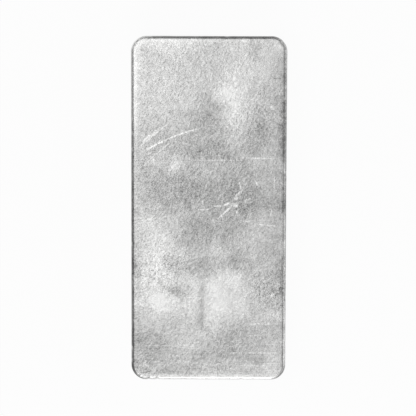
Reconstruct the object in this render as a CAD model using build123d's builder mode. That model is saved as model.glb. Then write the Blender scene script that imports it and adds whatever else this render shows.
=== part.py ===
"""A one kilogram bar of fine silver, cast in an open mould.

The bar is one piece. It lies as it is stored and stacked: the plain face that
was cast against the mould floor is up, and the poured face is down.

Millimetres, +Z up, long side along Y, origin under the middle of the bar on
the surface it lies on.
"""

import os
from math import asin, degrees, sqrt

from build123d import *

# Outline at the poured face, where the bar is longest and widest.
bar_length = 118.0
bar_width = 53.8
bar_thickness = 15.5
corner_radius = 5.8  # upright corners of the mould cavity

# The walls lean in towards the mould floor, so that the bar drops out.
wall_draft = 2.0  # degrees

face_edge_radius = 1.4  # left by the rounded corner of the mould floor
pour_edge_radius = 2.4  # left by the melt, which bulges against the mould wall

# The middle of the poured face sinks as the metal shrinks.
hollow_length = 100.0
hollow_width = 40.0
hollow_depth = 0.4

silver_density = 10.49  # grams per cubic centimetre


def arc_radius(chord, rise):
    """Radius of the arc that stands rise high over a chord."""
    return (chord**2 / 4 + rise**2) / (2 * rise)


def arc_chord(radius, rise):
    """Chord that lies rise below the top of an arc."""
    return 2 * sqrt(2 * radius * rise - rise**2)


# The hollow is cut by a shallow arc across the bar, swung along a longer arc
# about an axis far below the bar. The swung shape reaches under the bar on
# every side, so that only its crown cuts.
cross_radius = arc_radius(hollow_width, hollow_depth)
swing_radius = arc_radius(hollow_length, hollow_depth)
swing_half_angle = degrees(asin(hollow_length / swing_radius))
swing_centre = (0, 0, hollow_depth - swing_radius)
swing_start = Plane(origin=swing_centre, x_dir=(1, 0, 0), z_dir=(0, -1, 0)).rotated((-swing_half_angle, 0, 0))
crown_rise = 3 * hollow_depth
crown_chord = arc_chord(cross_radius, crown_rise)

with BuildPart() as silver_bar:
    with BuildSketch():
        RectangleRounded(bar_width, bar_length, corner_radius)
    extrude(amount=bar_thickness, taper=wall_draft)

    plain_face = silver_bar.faces().sort_by(Axis.Z)[-1]
    poured_face = silver_bar.faces().sort_by(Axis.Z)[0]
    fillet(plain_face.edges(), face_edge_radius)
    fillet(poured_face.edges(), pour_edge_radius)

    with BuildSketch(swing_start):
        with BuildLine():
            chord_start = (-crown_chord / 2, swing_radius - crown_rise)
            chord_end = (crown_chord / 2, swing_radius - crown_rise)
            ThreePointArc(chord_start, (0, swing_radius), chord_end)
            Line(chord_end, chord_start)
        make_face()
    revolve(axis=Axis(swing_centre, (1, 0, 0)), revolution_arc=2 * swing_half_angle, mode=Mode.SUBTRACT)

silver_bar.part.label = "silver_bar"

os.makedirs("parts", exist_ok=True)
export_step(silver_bar.part, "parts/silver_bar.step")

volume_cm3 = silver_bar.part.volume / 1000
print(f"size {silver_bar.part.bounding_box().size}")
print(f"volume {volume_cm3:.3f} cm3, {volume_cm3 * silver_density:.1f} g of fine silver")
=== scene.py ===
from math import cos, pi, radians, sin, tan

import bpy
import numpy as np
from mathutils import Matrix, Vector, noise


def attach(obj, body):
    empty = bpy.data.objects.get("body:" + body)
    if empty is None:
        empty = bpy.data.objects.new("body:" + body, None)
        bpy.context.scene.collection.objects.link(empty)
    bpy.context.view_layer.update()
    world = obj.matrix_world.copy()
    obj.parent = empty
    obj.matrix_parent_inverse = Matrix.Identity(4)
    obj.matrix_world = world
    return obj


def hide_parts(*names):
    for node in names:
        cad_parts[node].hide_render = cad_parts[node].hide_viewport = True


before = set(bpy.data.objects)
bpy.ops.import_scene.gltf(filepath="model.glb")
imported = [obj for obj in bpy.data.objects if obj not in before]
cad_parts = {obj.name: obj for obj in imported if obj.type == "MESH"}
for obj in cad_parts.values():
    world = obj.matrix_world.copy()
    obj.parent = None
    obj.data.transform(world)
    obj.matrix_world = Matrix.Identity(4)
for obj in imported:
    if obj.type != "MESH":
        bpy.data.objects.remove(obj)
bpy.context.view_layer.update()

# The script works in millimetres in the frame of the CAD model: +Z up, the
# long side along Y, origin under the middle of the bar. Blender gets metres.
MM = 0.001

# Form of the bar, as it is in the CAD source.
BAR_LENGTH = 118.0
BAR_WIDTH = 53.8
BAR_THICKNESS = 15.5
CORNER_RADIUS = 5.8
WALL_DRAFT = radians(2.0)
FACE_EDGE_RADIUS = 1.4
POUR_EDGE_RADIUS = 2.4
HOLLOW_LENGTH = 100.0
HOLLOW_WIDTH = 40.0
HOLLOW_DEPTH = 0.4

# The corner arcs of every level share their centres, at the corners of this
# core rectangle. A point outside it is given by its distance from it.
CORE_X = BAR_WIDTH / 2 - CORNER_RADIUS
CORE_Y = BAR_LENGTH / 2 - CORNER_RADIUS

# Mesh density. The counts are even, because the poured face has half of them.
CELLS_ACROSS = 116
CELLS_ALONG = 294
MARGIN_CELLS = 12
FACE_EDGE_RINGS = 8
WALL_RINGS = 20
POUR_EDGE_RINGS = 9

# Heights over which what belongs to the plain face fades out down the wall:
# its tones and scratches, its skin, its grain and dents, the painted shade of
# its edge, its mottle, its lighter grey, and its roughness.
TONE_FADE = (14.2, 15.2)
SKIN_FADE = (13.6, 15.4)
DENT_FADE = (12.6, 14.6)
PAINTED_EDGE_SHADE_FADE = (12.5, 13.8)
MOTTLE_FADE = (12.5, 14.5)
GREY_FADE = (12.5, 14.0)
ROUGH_FADE = (14.3, 15.3)

# Relief of the skin, as the size of its bumps and their depth.
PEBBLE_SIZE, PEBBLE_DEPTH = 0.78, 0.018
PEBBLE_STRETCH, PEBBLE_HEADING = 1.9, 52
CELL_SIZE, CELL_DEPTH = 1.5, 0.011
SWELL_SIZE, SWELL_DEPTH = 7.5, 0.016
LONG_SWELL_SIZE, LONG_SWELL_DEPTH = 26, 0.03

# The plain face drops a little over the last millimetres before its edge, and
# its skin is weaker there. The stretches run inwards, from where this is full to
# where it is gone, and start from a line just inside the outline.
RIM_INSET = 0.9
RIM_DROP, RIM_DROP_STRETCH = 0.10, (0.3, 5.5)
RIM_SKIN, RIM_SKIN_STRETCH = 0.45, (0.5, 4.0)

# Relief of the walls, with level flow lines that are longer than high, and how
# much of the grain the walls have.
FLOW_SIZE, FLOW_DEPTH, FLOW_STRETCH = 1.6, 0.022, 4
WALL_CELL_DEPTH = 0.010
WALL_PEBBLE_DEPTH = 0.006
WALL_GRAIN = 0.4

# Relief of the poured face, with the rings left as the metal froze inwards. They
# fade in over a stretch inside the outline, and lie wider apart at the ends.
POUR_SKIN_SIZE, POUR_SKIN_DEPTH = 5.0, 0.02
POUR_SWELL_SIZE, POUR_SWELL_DEPTH = 22, 0.05
RING_SPACING, RING_DEPTH = 2.6, 0.018
RING_BEND_SIZE, RING_BEND = 16, 3.2
RING_STRETCH = (2.5, 7.0)
RING_END_SHARE = 0.8

# Depth of a dent of strength 1.
DENT_DEPTH = 2.2

# Scratches: depth at full strength, greatest depth, and least half width.
GROOVE_DEPTH = 0.02
GROOVE_LIMIT = 0.03
GROOVE_HALF_WIDTH = 0.4

# Ragged borders of the light and dark areas: size and reach of their wander.
# The small marks follow a part of it.
WANDER_SIZE, WANDER = 5.5, 1.5
MARK_WANDER = 0.35

# Layers of the silver, by the size of their grains.
MOTTLE_SIZE = 2.4
CRYSTAL_SIZE = 1.5
GRAIN_SIZE = 0.85
SPECKLE_SIZE = 0.42
SPARK_SIZE = 0.8
STREAK_SIZE = 0.8

# Strength of the mottle on the walls and on the plain face, and the tone of the
# walls, which are a little darker.
WALL_MOTTLE, FACE_MOTTLE = 0.2, 0.45
WALL_TONE = -0.12

# How much each layer lightens the silver, the rims by painted highlights, and
# how much painted shade darkens the rounded edge. The dark corners and the front
# line are painted shade too, given as so many times that of the edge.
GRAIN_LIGHT = 0.29
SPECKLE_LIGHT = 0.50
SPARK_LIGHT = 0.30
CRYSTAL_LIGHT = 0.95
SCRATCH_LIGHT = 0.75
STREAK_LIGHT = 0.30
PAINTED_FRONT_RIM_HIGHLIGHT = 0.26
PAINTED_RIM_HIGHLIGHT = 0.15
PAINTED_EDGE_SHADE = 0.34
PAINTED_CORNER_SHADE = 2.2
PAINTED_FRONT_LINE_SHADE = 0.9

# Lightness of plain silver, and the range that the layers leave it.
SILVER_LIGHT = 0.585
LIGHTNESS_RANGE = (0.08, 0.97)
BLUE_SHARE = 0.992

# Roughness of plain silver, how much smoother the edge and the walls are, and
# the range that it keeps.
SILVER_ROUGHNESS = 0.42
WALL_SMOOTHER = 0.13
ROUGHNESS_RANGE = (0.22, 0.6)

# Depth of the finest grain, which is too fine for the mesh.
FINE_GRAIN_DEPTH = 0.074
FINE_SPECKLE_DEPTH = 0.028

# Bands round the plain face that hold its painted rim highlights and the painted
# shade of its edge, by their distance from the core rectangle, where its edge
# begins at 3.9: begin, full, fade and end, or only begin and full.
PAINTED_RIM_HIGHLIGHT_BAND = (2.8, 3.5, 3.9, 4.4)
RIGHT_RIM_BAND = (3.8, 4.2, 4.35, 4.65)
FRONT_RIM_BAND = (2.9, 4.2)
PAINTED_EDGE_SHADE_BAND = (4.0, 4.6)
CORNER_BAND = (4.2, 4.9)
FRONT_LINE_BAND = (4.9, 5.3)

# Stretches across the bar, as begin and full: its right part, where the relief
# is weaker, its right edge, and the part to the left, whose rim has more painted
# highlight.
CALM_SIDE, CALM_SIDE_LOSS = (6.0, 22.0), 0.5
RIGHT_EDGE = (20.0, 26.0)
PAINTED_RIM_HIGHLIGHT_SIDE = (22.0, 10.0)

# Stretches along the bar, as begin and full, over which the painted rim
# highlights, the painted edge shade and the streaks set in or grow.
RIGHT_RIM_NEAR = (-38.0, -25.0)
RIGHT_RIM_FAR = (40.0, 0.0)
FRONT_RIM_STRETCH = (-54.0, -56.0)
FRONT_LINE_STRETCH = (-55.0, -57.5)
PAINTED_EDGE_SHADE_NEAR = (-57.0, -54.0)
PAINTED_EDGE_SHADE_FAR = (55.0, 57.5)
STREAK_STRETCH = (-38.0, -50.0)

# Corners of the rounded edge, as x, y and radius: one where the painted edge
# shade turns into a painted highlight, and two with deeper painted shade.
PAINTED_HIGHLIGHT_CORNER = (-26, 59, 9)
PAINTED_SHADE_CORNERS = ((-25.5, -57.5, 8), (25.5, -57.5, 6.5))

# Camera, set so that the outline of the bar falls as in the photograph.
CAMERA_PLACE = (0.0, 23.7, 395.5)
CAMERA_TARGET = (-0.256, 0.523, BAR_THICKNESS)
CAMERA_ROLL = radians(-0.16)
CAMERA_LENS = 97.31
SENSOR_WIDTH = 36.0

# Floor: half its side, how light its paint is, and how much of what is seen
# of it is even white.
FLOOR_HALF = 4000
FLOOR_PAINT = 0.93
FLOOR_GLOW = 0.94

# Dents of the edges of the plain face: x, y, radius and strength.
EDGE_DENTS = (
    (-20.4, -58.2, 0.9, 0.32),
    (-17.5, -58.3, 0.8, 0.26),
    (-23.6, -56.6, 1.2, 0.06),
    (11.2, -58.3, 1.1, 0.12),
    (-26.2, 30.5, 0.9, 0.14),
    (-26.2, 25.8, 0.8, 0.16),
    (-26.2, 20.4, 1.0, 0.12),
    (-26.3, -12.0, 1.3, 0.10),
    (-26.3, -47.5, 1.1, 0.22),
    (-26.2, -51.8, 0.9, 0.24),
    (26.2, 12.5, 1.2, 0.12),
    (26.3, -30.2, 1.0, 0.18),
    (26.2, -46.0, 1.1, 0.14),
    (6.0, 58.3, 1.2, 0.10),
    (24.8, 56.2, 1.1, 0.16),
)

# Where the grain of the plain face is stronger or weaker: x, y, radius across,
# radius along, heading in degrees, and change of its strength.
GRAIN_AREAS = (
    (-6, 18, 32, 46, 0, 0.10),
    (10, 2, 11, 10, 0, 0.30),
    (-17, -22, 14, 14, 0, 0.90),
    (21, -27, 11, 13, 0, 0.72),
    (5, -31, 15, 12, 0, -0.50),
    (16, 32, 12, 12, 0, 0.45),
    (22, 50, 10, 12, 0, -0.30),
    (-22, -54, 8, 7, 0, 0.60),
    (-20, 20, 9, 10, 30, 0.15),
)

# Places where the skin of the plain face is calm or coarse: x, y, radius across
# and radius along.
CALM_CORNER = (-25.5, 58, 14, 14)
COARSE_FIELD = (-10, 38, 36, 42)

# Scratches of the plain face: middle, half length, half width, heading in
# degrees, bend as half widths that the ends fall back, and strength, which is
# below zero where a scratch is dark.
FACE_SCRATCHES = (
    (-12.2, 24.5, 10.5, 0.45, 22, 2.1, 0.85),
    (-18.7, 21.6, 3.6, 0.75, 29, 0.0, 0.7),
    (-20.2, 24.7, 3.4, 0.80, 39, 0.0, 0.8),
    (-18.4, 25.3, 7.0, 0.40, 39, 0.0, 0.75),
    (-16.4, 19.9, 4.6, 0.34, 40, 0.0, 0.6),
    (-20.9, 15.9, 2.6, 0.30, 45, 0.0, 0.45),
    (-7.9, 22.3, 4.2, 0.28, -9, 0.0, 0.35),
    (-2.5, 18.3, 1.8, 0.26, 90, 0.0, 0.4),
    (1.7, 16.7, 8.5, 0.27, 0, 0.0, 0.6),
    (-1.9, 0.0, 2.4, 0.34, 4, 0.0, 0.8),
    (3.0, 1.2, 1.7, 0.55, 0, 0.0, 0.9),
    (6.2, 1.9, 1.3, 0.42, 26, 0.0, 0.6),
    (5.5, -0.9, 3.8, 0.50, 43, 0.0, 1.1),
    (10.7, 7.6, 1.9, 0.42, 106, 0.0, 1.0),
    (10.0, 5.4, 1.9, 0.50, 48, 0.0, 1.0),
    (12.9, 3.4, 1.6, 0.36, 24, 0.0, 0.35),
    (13.6, 2.4, 1.4, 0.36, 20, 0.0, 0.35),
    (16.1, 9.0, 2.0, 0.45, 125, 0.0, 0.7),
    (13.9, 1.3, 4.0, 1.00, 41, 0.0, -0.25),
    (12.5, -3.9, 2.2, 0.34, -8, 0.0, 0.5),
    (19.9, -5.3, 3.6, 0.34, -6, 0.0, 0.8),
    (21.1, -1.0, 1.3, 0.40, 76, 0.0, 0.7),
    (15.5, -49.0, 9.5, 0.30, 0, 0.0, 0.7),
    (21.5, -52.6, 4.2, 0.26, 0, 0.0, 0.5),
    (22.0, -55.0, 3.4, 0.26, 0, 0.0, 0.4),
    (-14.0, -46.5, 11.0, 0.26, 1, 0.0, 0.35),
    (19.2, -39.0, 6.2, 0.30, 0, 0.0, 0.7),
    (17.0, 17.4, 6.6, 0.34, -1, 0.0, 0.6),
    (-18.4, -3.1, 6.9, 0.26, 9, 0.0, 0.45),
    (22.1, 8.6, 3.4, 0.36, 90, 0.0, 0.5),
    (-17.7, -21.4, 4.2, 0.45, 90, 0.0, 1.6),
    (-2.4, -32.6, 9.0, 1.70, 90, 0.0, -0.42),
    (-24.6, 9.0, 1.6, 0.26, 0, 0.0, 0.5),
    (23.0, 44.2, 1.5, 0.30, 0, 0.0, -0.7),
    (17.3, -28.9, 3.7, 0.34, 90, 0.0, -0.55),
    (16.2, -22.7, 1.8, 0.28, 0, 0.0, -0.45),
    (-11.2, -18.7, 2.6, 0.80, 35, 0.0, -0.20),
)

# Soft light and dark areas of the plain face, placed from the photo: x,
# y, radius across, radius along, heading in degrees, and how much lighter the
# middle is than the rest.
FACE_AREAS = (
    # Frosted upper left corner, with a painted highlight along its two edges.
    (-16, 46, 26, 34, 0, 0.15),
    (-28, 46, 7, 32, 0, 0.45),
    (-14, 58, 22, 7, 0, 0.40),
    # Pale bloom right of the middle of the upper half, with its tail.
    (5, 39, 6, 5, 20, 0.35),
    (9, 35, 9, 13, 10, 0.40),
    (9, 46, 11, 10, 0, 0.25),
    (9, 25, 6, 11, 10, 0.20),
    # Dark clouds round the bloom, and the upper right corner.
    (0, 33, 9, 9, 0, -0.30),
    (17, 28, 6, 9, 0, -0.15),
    (15, 53, 3, 8, 0, -0.20),
    (19, 52, 16, 18, 0, 0.17),
    (25, 55, 4, 4, 0, 0.35),
    (10, 56, 16, 6, 0, 0.12),
    # Grey field above the dark band, and its lighter patches.
    (0, 19, 60, 16, 0, -0.25),
    (-11, 15, 5, 4, 0, 0.25),
    (-15, 18, 13, 8, 20, 0.15),
    (0, 14, 12, 7, 0, 0.15),
    (17, 16, 14, 4, -10, 0.20),
    # Dark band across the middle, and the dark cloud below it.
    (0, 5, 60, 10, -2, -0.27),
    (0, -7, 20, 10, 0, -0.28),
    # Bright frost at the left, below the middle.
    (-17, -13, 11, 14, 10, 0.38),
    (-21, -3, 6, 6, 0, 0.10),
    # Faint patches of the middle and of both edges.
    (-24, 5, 4, 9, 0, 0.15),
    (14, 2, 8, 4, 35, -0.10),
    (14, -9, 7, 6, 0, 0.15),
    (22, 8, 4, 8, 0, 0.15),
    (22, 20, 7, 6, 0, 0.20),
    (3, -13, 5, 7, 20, 0.25),
    # Dark clouds above the broad light area of the lower half.
    (-13, -18, 5, 5, 0, -0.30),
    (-3, -20, 8, 5, 0, -0.30),
    (7, -18, 7, 4, 0, -0.25),
    # Broad light area of the lower half, with its bright and dark parts.
    (-18, -28, 16, 20, 0, 0.40),
    (-16, -31, 7, 7, 0, 0.35),
    (-12, -28, 9, 4.5, 0, -0.55),
    (3, -30, 20, 16, 0, 0.50),
    (8, -24, 6, 4, 0, 0.20),
    (23, -36, 9, 6, 0, 0.30),
    (-2.5, -33, 2.5, 11, 0, -0.20),
    # Darker end at the bottom, with a lighter corner and a painted highlight along
    # the rim.
    (9, -42, 7, 4, 0, -0.20),
    (-21, -45, 12, 14, 0, -0.20),
    (-6, -44, 12, 7, 0, 0.15),
    (23, -50, 7, 14, 0, 0.30),
    (5, -49, 14, 5, 0, -0.15),
    (13, -56, 32, 7, 0, 0.25),
    # Painted shade in strips along the two long edges, where the rounded edge turns
    # away from the light.
    (26, 25, 3, 42, 0, -0.50),
    (26.5, -22, 2.5, 50, 0, -0.50),
    (-27, -24, 5, 50, 0, -0.60),
)

# Small spots and pits of the plain face, with sharper borders, given as above.
FACE_MARKS = (
    (-22.8, 53.8, 0.8, 0.8, 0, -0.7),
    (-20.4, -57.6, 0.9, 0.9, 0, -0.8),
    (-17.4, -57.8, 0.8, 0.7, 0, -0.7),
    (-20.2, 57.3, 0.8, 0.7, 0, -0.6),
    (8.9, 1.4, 1.5, 1.0, 0, 0.9),
    (9.1, 3.7, 1.5, 0.9, 10, 0.6),
    (5.9, 1.6, 1.9, 0.8, 15, 0.6),
    (-2.0, 2.4, 0.6, 1.6, 15, 0.6),
    (1.3, -3.8, 1.3, 0.8, 0, 0.45),
    (9.6, -0.7, 0.5, 1.3, 20, 0.5),
    (12.7, 3.0, 1.8, 0.6, 20, 0.45),
    (-18.5, 16.3, 0.7, 1.6, 8, 0.8),
    (-11.9, 15.2, 3.0, 2.2, 30, 0.2),
    (-15.2, -48.0, 0.9, 0.8, 0, 0.5),
    (-18.4, -25.6, 1.8, 2.2, 20, 0.60),
    (-15.7, -30.0, 2.2, 3.4, -15, 0.50),
    (6.2, 39.5, 2.2, 2.0, 0, 0.5),
    (8.6, 35.1, 1.6, 2.6, 20, 0.3),
    (17.3, 43.2, 0.8, 0.7, 0, 0.45),
    (-2.7, -23.1, 0.9, 0.7, 0, -0.35),
    (21.8, -29.6, 1.1, 0.9, 0, 0.5),
    (22.8, -26.2, 1.1, 0.8, 0, 0.5),
    (21.4, 34.5, 1.2, 1.6, 30, 0.35),
)


# The mesh


def face_edge_core():
    """Distance from the core at which the plain face ends and its edge begins."""
    at_centre = CORNER_RADIUS - (BAR_THICKNESS - FACE_EDGE_RADIUS) * tan(WALL_DRAFT)
    return at_centre - FACE_EDGE_RADIUS / cos(WALL_DRAFT)


def pour_edge_core():
    """Distance from the core at which the flat rim of the poured face ends."""
    return CORNER_RADIUS - POUR_EDGE_RADIUS * tan(WALL_DRAFT) - POUR_EDGE_RADIUS / cos(WALL_DRAFT)


def ease(t):
    """Smooth step from 0 to 1 as t goes from 0 to 1."""
    return t * t * (3 - 2 * t)


def side_profile():
    """Rows of distance, height, outward and upward parts of the normal, and
    share of the poured face, from below the plain face down to the rim."""
    rows = []
    centre = face_edge_core()
    for k in range(1, FACE_EDGE_RINGS + 1):
        a = pi / 2 + (WALL_DRAFT - pi / 2) * k / FACE_EDGE_RINGS
        height = BAR_THICKNESS - FACE_EDGE_RADIUS + FACE_EDGE_RADIUS * sin(a)
        rows.append((centre + FACE_EDGE_RADIUS * cos(a), height, cos(a), sin(a), 0.0))
    wall_top, wall_top_height = rows[-1][:2]
    centre = pour_edge_core()
    wall_foot = centre + POUR_EDGE_RADIUS * cos(WALL_DRAFT)
    wall_foot_height = POUR_EDGE_RADIUS * (1 + sin(WALL_DRAFT))
    for k in range(1, WALL_RINGS + 1):
        t = k / WALL_RINGS
        distance = wall_top + (wall_foot - wall_top) * t
        height = wall_top_height + (wall_foot_height - wall_top_height) * t
        rows.append((distance, height, cos(WALL_DRAFT), sin(WALL_DRAFT), 0.0))
    for k in range(1, POUR_EDGE_RINGS + 1):
        t = k / POUR_EDGE_RINGS
        a = WALL_DRAFT - (WALL_DRAFT + pi / 2) * t
        height = POUR_EDGE_RADIUS * (1 + sin(a))
        rows.append((centre + POUR_EDGE_RADIUS * cos(a), height, cos(a), sin(a), ease(t)))
    return rows


def plan_steps(cells, margin, half):
    """Places along one side of the core and, with a margin at both ends, how
    far each step is beyond it as a share of the margin."""
    core = np.linspace(-half, half, cells + 1)
    out = np.arange(1, margin + 1) / margin
    place = np.concatenate([np.full(margin, -half), core, np.full(margin, half)])
    beyond = np.concatenate([-out[::-1], np.zeros(cells + 1), out])
    return place, beyond


def plan_grid(across, along, margin, reach):
    """Plan of a face: a grid over the core, carried out to reach beyond it.
    In a corner the square block of cells is bent into a quarter of a disc."""
    x_core, x_out = plan_steps(across, margin, CORE_X)
    y_core, y_out = plan_steps(along, margin, CORE_Y)
    x_core, y_core = np.meshgrid(x_core, y_core, indexing="ij")
    x_out, y_out = np.meshgrid(x_out, y_out, indexing="ij")
    a, b = abs(x_out), abs(y_out)
    rho = np.maximum(a, b)
    safe = np.where(rho > 0, rho, 1)
    turn = np.where(a >= b, pi / 4 * b / safe, pi / 2 - pi / 4 * a / safe)
    away_x = np.where(a > 0, np.cos(turn), 0) * np.sign(x_out)
    away_y = np.where(b > 0, np.sin(turn), 0) * np.sign(y_out)
    x, y = x_core + rho * reach * away_x, y_core + rho * reach * away_y
    return x, y, x_core, y_core, away_x, away_y


def rim_of(columns, rows):
    """Grid places round the edge of a grid, counterclockwise from the first."""
    last_i, last_j = columns - 1, rows - 1
    i = [*range(last_i), *[last_i] * last_j, *range(last_i, 0, -1), *[0] * last_j]
    j = [*[0] * last_i, *range(last_j), *[last_j] * last_i, *range(last_j, 0, -1)]
    return np.array(i), np.array(j)


def grid_faces(number, flip=False):
    """Four-sided faces between the numbered points of a grid."""
    corners = [number[:-1, :-1], number[1:, :-1], number[1:, 1:], number[:-1, 1:]]
    quads = np.stack(corners, axis=-1).reshape(-1, 4)
    return quads[:, ::-1] if flip else quads


def arc_radius(chord, rise):
    """Radius of the arc that stands rise high over a chord."""
    return (chord**2 / 4 + rise**2) / (2 * rise)


def hollow_height(x, y):
    """Height of the sunken middle of the poured face above its rim."""
    cross = arc_radius(HOLLOW_WIDTH, HOLLOW_DEPTH)
    swing = arc_radius(HOLLOW_LENGTH, HOLLOW_DEPTH)
    ridge = swing - cross + np.sqrt(cross**2 - x**2)
    return np.maximum(0, HOLLOW_DEPTH - swing + np.sqrt(ridge**2 - y**2))


class Surface:
    """Points with their outward normals and their share of the poured face,
    and the faces between them."""

    def __init__(self):
        self.points, self.normals, self.shares, self.faces = [], [], [], []
        self.count = 0

    def add(self, points, normals, share):
        """Takes in points that have one share, and gives their numbers."""
        self.points.append(points)
        self.normals.append(normals)
        self.shares.append(np.full(len(points), share))
        self.count += len(points)
        return np.arange(self.count - len(points), self.count)

    def add_flat(self, x, y, z, up, share):
        """Takes in a grid of points that face up or down."""
        points = np.stack([x, y, z], axis=-1).reshape(-1, 3)
        normals = np.tile((0.0, 0.0, up), (len(points), 1))
        return self.add(points, normals, share).reshape(x.shape)

    def joined(self):
        return np.concatenate(self.points), np.concatenate(self.normals), np.concatenate(self.shares)


def bar_surface():
    """Points, outward normals, share of the poured face, and faces."""
    surface = Surface()
    plan = plan_grid(CELLS_ACROSS, CELLS_ALONG, MARGIN_CELLS, face_edge_core())
    x, y, x_core, y_core, away_x, away_y = plan
    face = surface.add_flat(x, y, np.full_like(x, BAR_THICKNESS), 1.0, 0.0)
    quads = [grid_faces(face)]

    rim = rim_of(*x.shape)
    core = np.column_stack([x_core[rim], y_core[rim]])
    away = np.column_stack([away_x[rim], away_y[rim]])
    ring = face[rim]
    for distance, height, out, up, share in side_profile():
        points = np.column_stack([core + distance * away, np.full(len(core), height)])
        normals = np.column_stack([out * away, np.full(len(core), up)])
        lower = surface.add(points, normals, share)
        quads.append(np.column_stack([ring, lower, np.roll(lower, -1), np.roll(ring, -1)]))
        ring = lower

    # The poured face has half the cells, so three triangles join each of its
    # outer edges to two edges of the ring round it.
    reach = pour_edge_core() * (1 - 0.5 / MARGIN_CELLS)
    x, y, *_ = plan_grid(CELLS_ACROSS // 2, CELLS_ALONG // 2, MARGIN_CELLS // 2, reach)
    base = surface.add_flat(x, y, hollow_height(x, y), -1.0, 1.0)
    quads.append(grid_faces(base, flip=True))
    inner = base[rim_of(*x.shape)]
    inner_after = np.roll(inner, -1)
    even, odd, after = ring[0::2], ring[1::2], np.roll(ring[0::2], -1)
    triangles = [
        np.column_stack([even, inner, odd]),
        np.column_stack([odd, inner, inner_after]),
        np.column_stack([odd, inner_after, after]),
    ]
    faces = [*np.concatenate(quads).tolist(), *np.concatenate(triangles).tolist()]
    return *surface.joined(), faces


# The relief


def smooth(value, low, high):
    """Smooth step from 0 at low to 1 at high."""
    return ease(np.clip((value - low) / (high - low), 0, 1))


def turned(points, x, y, heading):
    """Places along and across a heading in degrees, measured from x, y."""
    c, s = cos(radians(heading)), sin(radians(heading))
    dx, dy = points[:, 0] - x, points[:, 1] - y
    return dx * c + dy * s, dy * c - dx * s


def waves(points, size, shift, octaves=1, heading=0.0, stretch=1.0):
    """Noise of about -1 to 1 with bumps of a size, stretched along a heading.
    The shift picks another stretch of the same noise."""
    along, across = turned(points, 0, 0, heading)
    places = np.column_stack([along / stretch, across, points[:, 2]]) / size + shift
    if octaves == 1:
        return np.array([noise.noise(p) for p in places.tolist()])
    return np.array([noise.fractal(p, 1.0, 2.0, octaves) for p in places.tolist()])


def spot(points, x, y, radius_x, radius_y):
    """Peaked round spot, 1 in its middle and 0 from its radius outwards."""
    along, across = turned(points, x, y, 0)
    return np.maximum(0, 1 - np.hypot(along / radius_x, across / radius_y)) ** 2


def patches(points, table):
    """Sum of soft round patches, each at its strength in its middle."""
    level = np.zeros(len(points))
    for x, y, radius_x, radius_y, heading, strength in table:
        along, across = turned(points, x, y, heading)
        level += strength * (1 - smooth(np.hypot(along / radius_x, across / radius_y), 0, 1))
    return level


def dents(points):
    """Depth of the dents of the edges of the plain face."""
    depth = np.zeros(len(points))
    near_top = smooth(points[:, 2], *DENT_FADE)
    for x, y, radius, strength in EDGE_DENTS:
        depth += DENT_DEPTH * strength * spot(points, x, y, radius, radius) * near_top
    return depth


def grooves(points):
    """Depth of the scratches of the plain face. The finest are wider here, so
    that the mesh can hold them."""
    depth = np.zeros(len(points))
    for x, y, half_length, half_width, heading, bend, strength in FACE_SCRATCHES:
        along, across = turned(points, x, y, heading)
        along = along / half_length
        across = abs(across + bend * half_width * along**2) / max(half_width, GROOVE_HALF_WIDTH)
        depth += GROOVE_DEPTH * strength * (1 - smooth(across, 0, 1)) * (1 - smooth(along**2, 0.3, 1))
    return np.clip(depth, 0, GROOVE_LIMIT)


def grain_strength(points):
    """Strength of the grain, where 1 is that of most of the bar."""
    return 1 + patches(points, GRAIN_AREAS)


def skin_strength(points, inset):
    """Strength of the pebbled skin: calmer at the rim, at the right and in one
    corner, coarser in the upper half."""
    calm_corner = np.clip(1 - 2.2 * spot(points, *CALM_CORNER), 0.15, 1)
    calm_rim = RIM_SKIN + (1 - RIM_SKIN) * smooth(inset, *RIM_SKIN_STRETCH)
    coarse_field = 0.75 + 1.1 * spot(points, *COARSE_FIELD)
    calm_right = 1 - CALM_SIDE_LOSS * smooth(points[:, 0], *CALM_SIDE)
    return grain_strength(points) * coarse_field * calm_right * (calm_corner * calm_rim)


def face_relief(points):
    """Relief of the plain face and the walls, from the skin of the mould."""
    inset_x = BAR_WIDTH / 2 - RIM_INSET - abs(points[:, 0])
    inset_y = BAR_LENGTH / 2 - RIM_INSET - abs(points[:, 1])
    inset = np.minimum(inset_x, inset_y)
    pebble = waves(points, PEBBLE_SIZE, (3.1, 7.7, 1.3), heading=PEBBLE_HEADING, stretch=PEBBLE_STRETCH)
    cells = waves(points, CELL_SIZE, (9.4, 2.2, 5.5), octaves=2)
    skin = (PEBBLE_DEPTH * pebble + CELL_DEPTH * cells) * skin_strength(points, inset)
    swell = SWELL_DEPTH * waves(points, SWELL_SIZE, (1.7, 4.1, 8.2), octaves=2)
    swell = swell + LONG_SWELL_DEPTH * waves(points, LONG_SWELL_SIZE, (6.6, 0.4, 2.9))
    rim_drop = RIM_DROP * (1 - smooth(inset, *RIM_DROP_STRETCH))
    flat_points = points * (1 / FLOW_STRETCH, 1 / FLOW_STRETCH, 1)
    flow = waves(flat_points, FLOW_SIZE, (2.5, 8.8, 4.0), octaves=3)
    side = FLOW_DEPTH * flow + WALL_CELL_DEPTH * cells + WALL_PEBBLE_DEPTH * pebble
    top = smooth(points[:, 2], *SKIN_FADE)
    return (skin - rim_drop - grooves(points)) * top + swell + (1 - top) * side - dents(points)


def pour_relief(points):
    """Relief of the poured face, whose rings follow its outline loosely."""
    skin = POUR_SKIN_DEPTH * waves(points, POUR_SKIN_SIZE, (4.4, 1.9, 7.0), octaves=3)
    swell = POUR_SWELL_DEPTH * waves(points, POUR_SWELL_SIZE, (8.1, 3.3, 0.6))
    bend = RING_BEND * waves(points, RING_BEND_SIZE, (0.3, 5.2, 6.1))
    inset_x = BAR_WIDTH / 2 - abs(points[:, 0])
    inset_y = (BAR_LENGTH / 2 - abs(points[:, 1])) * RING_END_SHARE
    inset = np.minimum(inset_x, inset_y)
    rings = RING_DEPTH * np.sin((inset + bend) * 2 * pi / RING_SPACING) * smooth(inset, *RING_STRETCH)
    return skin + swell + rings


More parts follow.
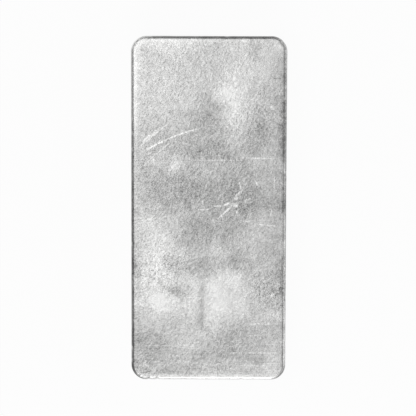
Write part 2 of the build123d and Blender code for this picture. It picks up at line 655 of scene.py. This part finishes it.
def face_tone(points):
    """Soft light and dark areas of the plain face, with ragged borders."""
    wander_x = WANDER * waves(points, WANDER_SIZE, (5.1, 0.7, 3.3), octaves=4)
    wander_y = WANDER * waves(points, WANDER_SIZE, (2.8, 6.4, 9.1), octaves=4)
    shift = np.column_stack([wander_x, wander_y, np.zeros(len(points))])
    tone = patches(points + shift, FACE_AREAS) + patches(points + MARK_WANDER * shift, FACE_MARKS)
    return tone * smooth(points[:, 2], *TONE_FADE)


def cast_bar():
    """The bar, with the tone and the strength of the grain kept at its points."""
    points, normals, share, faces = bar_surface()
    mould, melt = face_relief(points), pour_relief(points)
    relief = (mould - mould.max()) * (1 - share) + (melt - melt.max()) * share
    tone = face_tone(points)
    grain = grain_strength(points) * (WALL_GRAIN + (1 - WALL_GRAIN) * smooth(points[:, 2], *DENT_FADE))
    points = points + normals * relief[:, None]
    mesh = bpy.data.meshes.new("cast_bar")
    mesh.from_pydata((points * MM).tolist(), [], faces)
    mesh.validate()
    mesh.polygons.foreach_set("use_smooth", [True] * len(mesh.polygons))
    mesh.attributes.new("tone", "FLOAT", "POINT").data.foreach_set("value", tone)
    mesh.attributes.new("grain", "FLOAT", "POINT").data.foreach_set("value", grain)
    piece = bpy.data.objects.new("cast_bar", mesh)
    bpy.context.scene.collection.objects.link(piece)
    return piece


# The materials


class Graph:
    """Short calls that build one node tree."""

    def __init__(self, tree):
        self.tree = tree

    def node(self, kind, *values, **settings):
        """New node with its settings, and its first inputs in their order."""
        made = self.tree.nodes.new("ShaderNode" + kind)
        for name, value in settings.items():
            setattr(made, name, value)
        for socket, value in zip(made.inputs, values):
            self.set(socket, value)
        return made

    def set(self, socket, value):
        """Links a socket to an output, or gives it a value."""
        if isinstance(value, bpy.types.NodeSocket):
            self.tree.links.new(value, socket)
        elif value is not None:
            socket.default_value = value

    def set_named(self, made, **values):
        """Sets inputs by their names, with spaces written as underscores."""
        for name, value in values.items():
            self.set(made.inputs[name.replace("_", " ")], value)

    def math(self, operation, *values):
        return self.node("Math", *values, operation=operation).outputs[0]

    def chain(self, operation, *values):
        """One operation carried over all the values in turn."""
        total = values[0]
        for value in values[1:]:
            total = self.math(operation, total, value)
        return total

    def add(self, *values):
        return self.chain("ADD", *values)

    def times(self, *values):
        return self.chain("MULTIPLY", *values)

    def within(self, value, low, high):
        return self.math("MINIMUM", self.math("MAXIMUM", value, low), high)

    def ramp(self, value, low, high, start=0.0, end=1.0):
        """Smooth step from start at low to end at high."""
        made = self.node("MapRange", interpolation_type="SMOOTHSTEP")
        self.set_named(made, Value=value, From_Min=low, From_Max=high, To_Min=start, To_Max=end)
        return made.outputs[0]

    def band(self, value, begin, full, fade, end):
        """1 from full to fade, and 0 before begin and after end."""
        return self.times(self.ramp(value, begin, full), self.ramp(value, end, fade))

    def turned(self, place, x, y, heading, scale):
        """A place measured from x, y along a heading in degrees, in a scale."""
        turn = (0, 0, radians(heading))
        return self.node("Mapping", place, (x, y, 0), turn, scale, vector_type="TEXTURE").outputs[0]

    def noise(self, place, size, detail=2.0, roughness=0.5, stretch=1.0, heading=0.0):
        """Noise of -1 to 1 about an even grey, with bumps of a size."""
        around = self.turned(place, 0, 0, heading, (size * stretch, size, size))
        made = self.node("TexNoise", noise_dimensions="3D", normalize=True)
        self.set_named(made, Vector=around, Scale=1.0, Detail=detail, Roughness=roughness)
        return self.math("MULTIPLY_ADD", made.outputs["Fac"], 2.0, -1.0)

    def spot(self, place, x, y, radius, strength, rest=0.0):
        """Soft round area of a strength that fades to the rest at its radius."""
        around = self.turned(place, x, y, 0, (radius, radius, 1))
        away = self.node("VectorMath", around, operation="LENGTH").outputs["Value"]
        return self.ramp(away, 0.0, 1.0, strength, rest)


def new_material(name):
    material = bpy.data.materials.new(name)
    material.use_nodes = True
    material.node_tree.nodes.clear()
    return material, Graph(material.node_tree)


def scratch_group():
    """Turns a place measured in half lengths and half widths into the depth
    of a scratch with soft flanks and fading ends."""
    tree = bpy.data.node_groups.new("scratch", "ShaderNodeTree")
    tree.interface.new_socket("Place", in_out="INPUT", socket_type="NodeSocketVector")
    tree.interface.new_socket("Bend", in_out="INPUT", socket_type="NodeSocketFloat")
    tree.interface.new_socket("Depth", in_out="OUTPUT", socket_type="NodeSocketFloat")
    g = Graph(tree)
    given = tree.nodes.new("NodeGroupInput")
    made = tree.nodes.new("NodeGroupOutput")
    along, across, _ = g.node("SeparateXYZ", given.outputs["Place"]).outputs
    along_squared = g.times(along, along)
    bowed = g.math("MULTIPLY_ADD", along_squared, given.outputs["Bend"], across)
    flank = g.ramp(g.math("ABSOLUTE", bowed), 1.0, 0.0)
    fade = g.ramp(along_squared, 1.0, 0.3)
    g.set(made.inputs["Depth"], g.times(flank, fade))
    return tree


def scratch_lines(g, plan, on_face):
    """Brightness of the scratches, broken up as if they skip over the grain."""
    group = scratch_group()
    lines = 0.0
    for x, y, half_length, half_width, heading, bend, strength in FACE_SCRATCHES:
        around = g.turned(plan, x, y, heading, (half_length, half_width, 1))
        line = g.node("Group", node_tree=group)
        g.set_named(line, Place=around, Bend=bend)
        lines = g.add(lines, g.times(line.outputs["Depth"], strength))
    broken = g.ramp(g.noise(plan, 0.9, 2.0, 0.6), -0.5, 0.3, 0.35, 1.0)
    return g.times(lines, broken, on_face)


def distance_from_core(g, plan):
    """Distance of a place in the plan outside the core rectangle."""
    folded = g.node("VectorMath", plan, operation="ABSOLUTE").outputs[0]
    outside = g.node("VectorMath", folded, (CORE_X, CORE_Y, 0), operation="SUBTRACT").outputs[0]
    outside = g.node("VectorMath", outside, (0, 0, 0), operation="MAXIMUM").outputs[0]
    return g.node("VectorMath", outside, operation="LENGTH").outputs["Value"]


def painted_rim_highlights(g, beyond, across, along):
    """Painted highlights along the rims of the plain face."""
    rim_band_highlight = g.times(g.band(beyond, *PAINTED_RIM_HIGHLIGHT_BAND), g.ramp(across, *PAINTED_RIM_HIGHLIGHT_SIDE, 0.2, 1.0))
    front = g.times(g.ramp(beyond, *FRONT_RIM_BAND), g.ramp(along, *FRONT_RIM_STRETCH))
    right = g.times(g.ramp(across, *RIGHT_EDGE), g.band(beyond, *RIGHT_RIM_BAND))
    right = g.times(right, g.ramp(along, *RIGHT_RIM_FAR, 0.15, 0.45), g.ramp(along, *RIGHT_RIM_NEAR))
    return g.add(g.times(front, PAINTED_FRONT_RIM_HIGHLIGHT), g.times(rim_band_highlight, PAINTED_RIM_HIGHLIGHT), right)


def painted_edge_shade(g, plan, beyond, across, along, on_edge):
    """Painted shade of the rounded edge of the plain face, standing in for the dark
    surroundings that it reflects. It is wider at the right, darkest at the far
    end, and turns into a painted highlight at one corner. At the near end it is a
    thin line between two corners of deeper painted shade."""
    at_right = g.ramp(across, *RIGHT_EDGE)
    inner = g.math("SUBTRACT", beyond, g.times(at_right, 0.7))
    painted_shade = g.times(g.ramp(inner, *PAINTED_EDGE_SHADE_BAND), g.ramp(along, *PAINTED_EDGE_SHADE_NEAR), on_edge)
    bright_corner = g.spot(plan, *PAINTED_HIGHLIGHT_CORNER, -0.4, 1.0)
    painted_shade = g.times(painted_shade, bright_corner, g.math("MULTIPLY_ADD", at_right, -0.5, 1.0))
    painted_shade = g.times(painted_shade, g.ramp(along, *PAINTED_EDGE_SHADE_FAR, 1.0, 1.7))
    corners = g.add(*[g.spot(plan, *corner, 1.0) for corner in PAINTED_SHADE_CORNERS])
    corners = g.times(corners, g.ramp(beyond, *CORNER_BAND), on_edge)
    front_line = g.times(g.ramp(beyond, *FRONT_LINE_BAND), g.ramp(along, *FRONT_LINE_STRETCH), on_edge)
    return g.add(painted_shade, g.times(corners, PAINTED_CORNER_SHADE), g.times(front_line, PAINTED_FRONT_LINE_SHADE))


def silver():
    """Cast silver: frosted grey metal with light and dark areas, some of them
    painted highlight and shade, a fine crystal grain, rubbed scratches, smoother
    edges with painted highlights along the rims, and painted shade on the rounded
    edge."""
    material, g = new_material("fine_silver")
    metres = g.node("TexCoord").outputs["Object"]
    scaled = g.node("VectorMath", metres, operation="SCALE")
    g.set_named(scaled, Scale=1 / MM)
    place = scaled.outputs[0]
    height = g.node("SeparateXYZ", place).outputs[2]
    on_face = g.ramp(height, *TONE_FADE)
    on_edge = g.ramp(height, *PAINTED_EDGE_SHADE_FADE)
    plan = g.node("VectorMath", place, (1, 1, 0), operation="MULTIPLY").outputs[0]
    across, along, _ = g.node("SeparateXYZ", plan).outputs

    # The walls are a little darker than the face, and less mottled.
    tone = g.node("Attribute", attribute_name="tone").outputs["Fac"]
    frost = g.ramp(tone, -0.05, 0.35)
    mottle_level = g.ramp(height, *MOTTLE_FADE, WALL_MOTTLE, FACE_MOTTLE)
    mottle = g.times(g.noise(place, MOTTLE_SIZE, 4.0, 0.65), mottle_level)
    tone = g.add(tone, mottle, g.ramp(height, *GREY_FADE, WALL_TONE, 0.0))

    scratches = scratch_lines(g, plan, on_face)
    beyond = distance_from_core(g, plan)
    rim_highlights = painted_rim_highlights(g, beyond, across, along)
    painted_shade = painted_edge_shade(g, plan, beyond, across, along, on_edge)

    strength = g.node("Attribute", attribute_name="grain").outputs["Fac"]
    crystals = g.times(g.noise(place, CRYSTAL_SIZE, 1.5, 0.6), g.ramp(strength, 1.15, 2.2))
    grain = g.times(g.noise(place, GRAIN_SIZE, 2.0, 0.6, stretch=1.4, heading=50), strength)
    speckle = g.times(g.noise(place, SPECKLE_SIZE, 1.0, 0.5), strength)
    streaks = g.noise(plan, STREAK_SIZE, 2.0, 0.6, stretch=14.0)
    streaks = g.times(streaks, g.ramp(along, *STREAK_STRETCH), on_face)
    sparks = g.ramp(g.noise(place, SPARK_SIZE, 1.0, 0.5), 0.12, 0.5)
    sparks = g.times(sparks, g.add(frost, 0.25))

    layers = (
        (grain, GRAIN_LIGHT),
        (speckle, SPECKLE_LIGHT),
        (sparks, SPARK_LIGHT),
        (crystals, CRYSTAL_LIGHT),
        (scratches, SCRATCH_LIGHT),
        (streaks, STREAK_LIGHT),
    )
    # The painted rim highlights lighten the silver, and the painted shade of the edge then darkens it.
    shade = g.add(1.0, tone, rim_highlights, *[g.times(layer, light) for layer, light in layers])
    shade = g.times(shade, g.math("MULTIPLY_ADD", painted_shade, -PAINTED_EDGE_SHADE, 1.0))
    light = g.within(g.times(shade, SILVER_LIGHT), *LIGHTNESS_RANGE)
    colour = g.node("CombineColor", light, light, g.times(light, BLUE_SHARE)).outputs[0]

    rough = g.add(SILVER_ROUGHNESS, g.times(tone, 0.10), g.times(grain, 0.05))
    smoother = g.ramp(height, *ROUGH_FADE, WALL_SMOOTHER, 0.0)
    rough = g.within(g.math("SUBTRACT", rough, smoother), *ROUGHNESS_RANGE)

    calm_right = g.ramp(across, *CALM_SIDE, 1.0, 1 - CALM_SIDE_LOSS)
    relief = g.add(g.times(grain, FINE_GRAIN_DEPTH), g.times(speckle, FINE_SPECKLE_DEPTH))
    bump = g.node("Bump")
    g.set_named(bump, Height=g.times(relief, calm_right), Distance=MM, Strength=1.0)

    metal = g.node("BsdfPrincipled")
    g.set_named(metal, Base_Color=colour, Metallic=1.0, Roughness=rough, Normal=bump.outputs[0])
    g.node("OutputMaterial", metal.outputs[0])
    return material


def floor_paint():
    """White floor. What looks at it sees it lit evenly, with a faint shadow."""
    material, g = new_material("floor_white")
    paint = g.node("BsdfDiffuse", (FLOOR_PAINT, FLOOR_PAINT, FLOOR_PAINT, 1))
    glow = g.node("Emission", (1, 1, 1, 1), 1.0)
    path = g.node("LightPath").outputs
    seen = g.add(path["Is Camera Ray"], path["Is Glossy Ray"], path["Is Transmission Ray"])
    share = g.times(g.math("MINIMUM", seen, 1.0), FLOOR_GLOW)
    mixed = g.node("MixShader", share, paint.outputs[0], glow.outputs[0])
    g.node("OutputMaterial", mixed.outputs[0])
    return material


# The stage


def studio_world():
    """Pale low down, where the walls of the studio are, and dim above."""
    world = bpy.data.worlds.new("studio")
    world.use_nodes = True
    world.node_tree.nodes.clear()
    g = Graph(world.node_tree)
    up = g.node("SeparateXYZ", g.node("TexCoord").outputs["Generated"]).outputs[2]
    level = g.ramp(up, 0.03, 0.14, 0.70, 0.21)
    backdrop = g.node("Background", (1, 1, 1, 1), level)
    g.node("OutputWorld", backdrop.outputs[0])
    bpy.context.scene.world = world


def soft_box(name, place, aim, width, height, level):
    """Area light of an even brightness, where 1 is as bright as white."""
    light = bpy.data.lights.new(name, "AREA")
    light.shape = "RECTANGLE"
    light.size, light.size_y = width * MM, height * MM
    light.energy = level * pi * light.size * light.size_y
    lamp = bpy.data.objects.new(name, light)
    lamp.location = Vector(place) * MM
    lamp.rotation_euler = (Vector(place) - Vector(aim)).to_track_quat("Z", "Y").to_euler()
    bpy.context.scene.collection.objects.link(lamp)


def floor():
    half = FLOOR_HALF * MM
    corners = [(-half, -half, 0), (half, -half, 0), (half, half, 0), (-half, half, 0)]
    mesh = bpy.data.meshes.new("floor")
    mesh.from_pydata(corners, [], [(0, 1, 2, 3)])
    mesh.materials.append(floor_paint())
    ground = bpy.data.objects.new("floor", mesh)
    bpy.context.scene.collection.objects.link(ground)


def camera():
    lens = bpy.data.cameras.new("camera")
    lens.lens = CAMERA_LENS
    lens.sensor_width = SENSOR_WIDTH
    place, target = Vector(CAMERA_PLACE), Vector(CAMERA_TARGET)
    ahead = (target - place).normalized()
    up = Vector((sin(CAMERA_ROLL), cos(CAMERA_ROLL), 0))
    right = ahead.cross(up).normalized()
    up = right.cross(ahead)
    turn = Matrix((right, up, -ahead)).transposed().to_4x4()
    eye = bpy.data.objects.new("camera", lens)
    eye.matrix_world = Matrix.Translation(place * MM) @ turn
    bpy.context.scene.collection.objects.link(eye)
    bpy.context.scene.camera = eye


bar = cast_bar()
bar.data.materials.append(silver())
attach(bar, "root")
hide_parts("silver_bar")

floor()
studio_world()
soft_box("overhead_box", place=(-520, 330, 1500), aim=(-520, 330, 0), width=1500, height=1700, level=1.35)
soft_box("front_box", place=(-100, -1500, 900), aim=(0, 0, 0), width=1200, height=1100, level=2.6)
soft_box("right_box", place=(1700, -300, 560), aim=(0, -100, 0), width=800, height=1000, level=2.0)
camera()

bpy.context.scene.view_settings.view_transform = "Standard"
